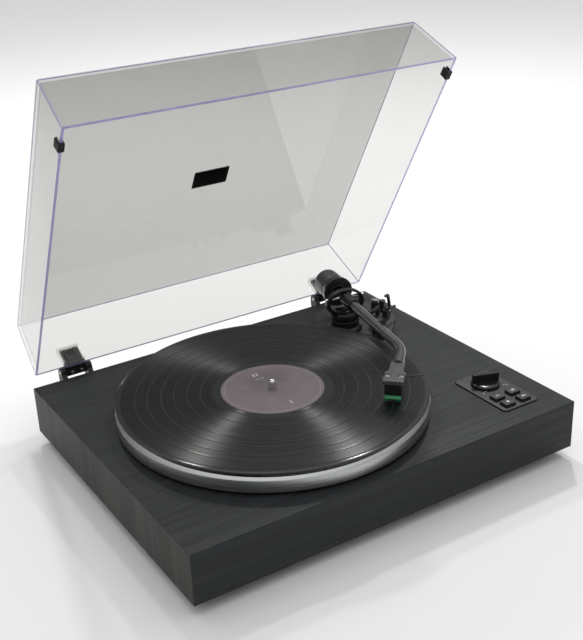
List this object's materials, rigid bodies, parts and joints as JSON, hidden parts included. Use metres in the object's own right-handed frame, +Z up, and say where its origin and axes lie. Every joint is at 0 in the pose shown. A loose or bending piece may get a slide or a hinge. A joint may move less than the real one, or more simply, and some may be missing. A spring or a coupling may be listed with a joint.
{
  "type": "turntable record player",
  "caption": "Belt-driven record player with a wooden plinth, aluminium platter, bent tonearm, control panel and a clear hinged dust cover standing open.",
  "frame": {"origin": "on the surface that the feet stand on, under the middle of the outline with the dust cover open", "axes": "+X along the front towards the control panel, +Y to the hinges, +Z up"},
  "size_m": [0.418, 0.4018, 0.3929],
  "materials": {
    "black_ash": "black-stained open-grain ash veneer, satin",
    "black_plastic": "moulded black plastic, satin",
    "hard_rubber": "matt black rubber",
    "zinc_steel": "bright zinc",
    "bronze": "oiled bronze",
    "platter_aluminium": "turned and brushed, polished chamfer",
    "vinyl": "pressed black vinyl, gloss",
    "label_paper": "uncoated mauve-grey paper",
    "polished_steel": "polished",
    "arm_lacquer": "dark grey satin lacquer",
    "weight_lacquer": "black-grey satin lacquer",
    "green_plastic": "translucent green",
    "clear_acrylic": "clear, slightly grey, polished",
    "circuit_board": "glass-fibre board",
    "jack_nickel": "nickel plated",
    "jack_insert": "moulded"
  },
  "bodies": {
    "plinth": {"plinth_body": "black_ash", "bottom_cover": "black_plastic", "feet": "hard_rubber", "underside_screws": "zinc_steel", "main_board": "circuit_board", "bearing_housing": "bronze", "thrust_ball": "polished_steel", "motor_body": "zinc_steel", "drive_belt": "hard_rubber", "chassis_screws": "zinc_steel", "rear_panel": "black_plastic", "jack_shells": "jack_nickel", "jack_inserts": "jack_insert", "ground_terminal": "jack_nickel", "power_socket": "black_plastic", "control_panel": "black_plastic", "control_board": "circuit_board", "tonearm_base": "black_plastic", "pivot_tower": "arm_lacquer", "lifter_housing": "black_plastic", "lever_pins": "zinc_steel", "anti_skate_post": "black_plastic", "arm_rest": "black_plastic", "hinge_brackets": "black_plastic", "hinge_pins": "zinc_steel"},
    "platter": {"platter": "platter_aluminium", "platter_mat": "hard_rubber", "record": "vinyl", "record_label": "label_paper", "spindle_shaft": "polished_steel"},
    "pulley": {"motor_shaft": "polished_steel", "motor_pulley": "bronze"},
    "lid": {"dust_cover": "clear_acrylic", "lid_bumpers": "hard_rubber", "badge_plate": "black_plastic", "hinge_leaves": "black_plastic", "hinge_screws": "polished_steel"},
    "swivel": {"gimbal_ring": "arm_lacquer", "pivot_screws": "polished_steel"},
    "arm": {"pivot_barrel": "arm_lacquer", "arm_tube": "arm_lacquer", "headshell": "arm_lacquer", "headshell_screws": "polished_steel", "finger_lift": "arm_lacquer", "cartridge_body": "black_plastic", "stylus_assembly": "green_plastic", "cantilever": "zinc_steel"},
    "weight_carriage": {"weight_carriage": "black_plastic"},
    "counterweight": {"counterweight": "weight_lacquer"},
    "force_dial": {"force_dial": "weight_lacquer"},
    "lift_bar": {"lift_bar": "black_plastic"},
    "cue_lever": {"cue_lever": "black_plastic"},
    "anti_skate_dial": {"anti_skate_dial": "polished_steel"},
    "rest_clip": {"rest_clip": "black_plastic"},
    "speed_knob": {"speed_knob": "black_plastic"},
    "select_slider": {"select_slider": "black_plastic"},
    "button_1": {"button_1": "black_plastic"},
    "button_2": {"button_2": "black_plastic"},
    "button_3": {"button_3": "black_plastic"},
    "button_4": {"button_4": "black_plastic"}
  },
  "joints": [
    {"name": "platter_spin", "type": "hinge", "parent": "plinth", "child": "platter", "pos_m": [-0.032, -0.03943, 0.062], "axis": [0, 0, -1], "continuous": true},
    {"name": "pulley_spin", "type": "hinge", "parent": "plinth", "child": "pulley", "pos_m": [-0.102, -0.13143, 0.062], "axis": [0, 0, -1], "continuous": true},
    {"name": "lid_hinge", "type": "hinge", "parent": "plinth", "child": "lid", "pos_m": [0, 0.15157, 0.065], "axis": [-1, 0, 0], "range_deg": [-60.2, 0]},
    {"name": "arm_swing", "type": "hinge", "parent": "plinth", "child": "swivel", "pos_m": [0.1257, 0.06337, 0.102], "axis": [0, 0, -1], "range_deg": [-16, 20]},
    {"name": "arm_tilt", "type": "hinge", "parent": "swivel", "child": "arm", "pos_m": [0.1257, 0.06337, 0.102], "axis": [-0.9799, 0.1994, 0], "range_deg": [0, 4]},
    {"name": "lift_slide", "type": "slide", "parent": "plinth", "child": "lift_bar", "axis": [0, 0, 1], "range_m": [0, 0.0028]},
    {"name": "lever_turn", "type": "hinge", "parent": "plinth", "child": "cue_lever", "pos_m": [0.15623, 0.03648, 0.08], "axis": [0.4384, -0.8988, 0], "range_deg": [0, 60.5]},
    {"name": "weight_travel", "type": "slide", "parent": "arm", "child": "weight_carriage", "axis": [-0.1994, -0.9799, 0], "range_m": [-0.0071, 0.0061]},
    {"name": "weight_turn", "type": "hinge", "parent": "weight_carriage", "child": "counterweight", "pos_m": [0.1257, 0.06337, 0.102], "axis": [-0.1994, -0.9799, 0], "range_deg": [-1008, 864]},
    {"name": "dial_turn", "type": "hinge", "parent": "counterweight", "child": "force_dial", "pos_m": [0.1257, 0.06337, 0.102], "axis": [-0.1994, -0.9799, 0], "continuous": true},
    {"name": "anti_skate_turn", "type": "hinge", "parent": "plinth", "child": "anti_skate_dial", "pos_m": [0.1605, 0.05457, 0.094], "axis": [0, 0, -1], "range_deg": [-135, 135]},
    {"name": "clip_turn", "type": "hinge", "parent": "plinth", "child": "rest_clip", "pos_m": [0.13988, 0.0043, 0.105], "axis": [0.0785, -0.9969, 0], "range_deg": [0, 80]},
    {"name": "knob_turn", "type": "hinge", "parent": "plinth", "child": "speed_knob", "pos_m": [0.162, -0.12643, 0.062], "axis": [0, 0, -1], "range_deg": [-35, 35]},
    {"name": "select_slide", "type": "slide", "parent": "plinth", "child": "select_slider", "axis": [1, 0, 0], "range_m": [0, 0.004]},
    {"name": "button_1_press", "type": "slide", "parent": "plinth", "child": "button_1", "axis": [0, 0, -1], "range_m": [0, 0.001], "stiffness_N_per_m": 400},
    {"name": "button_2_press", "type": "slide", "parent": "plinth", "child": "button_2", "axis": [0, 0, -1], "range_m": [0, 0.001], "stiffness_N_per_m": 400},
    {"name": "button_3_press", "type": "slide", "parent": "plinth", "child": "button_3", "axis": [0, 0, -1], "range_m": [0, 0.001], "stiffness_N_per_m": 400},
    {"name": "button_4_press", "type": "slide", "parent": "plinth", "child": "button_4", "axis": [0, 0, -1], "range_m": [0, 0.001], "stiffness_N_per_m": 400}
  ],
  "couplings": [
    {"joint": "pulley_spin", "follows": "platter_spin", "ratio": 15.818},
    {"joint": "lift_slide", "follows": "arm_tilt", "m_per_rad": 0.038},
    {"joint": "lever_turn", "follows": "arm_tilt", "ratio": 15},
    {"joint": "weight_travel", "follows": "weight_turn", "m_per_rad": 0.00039789}
  ]
}
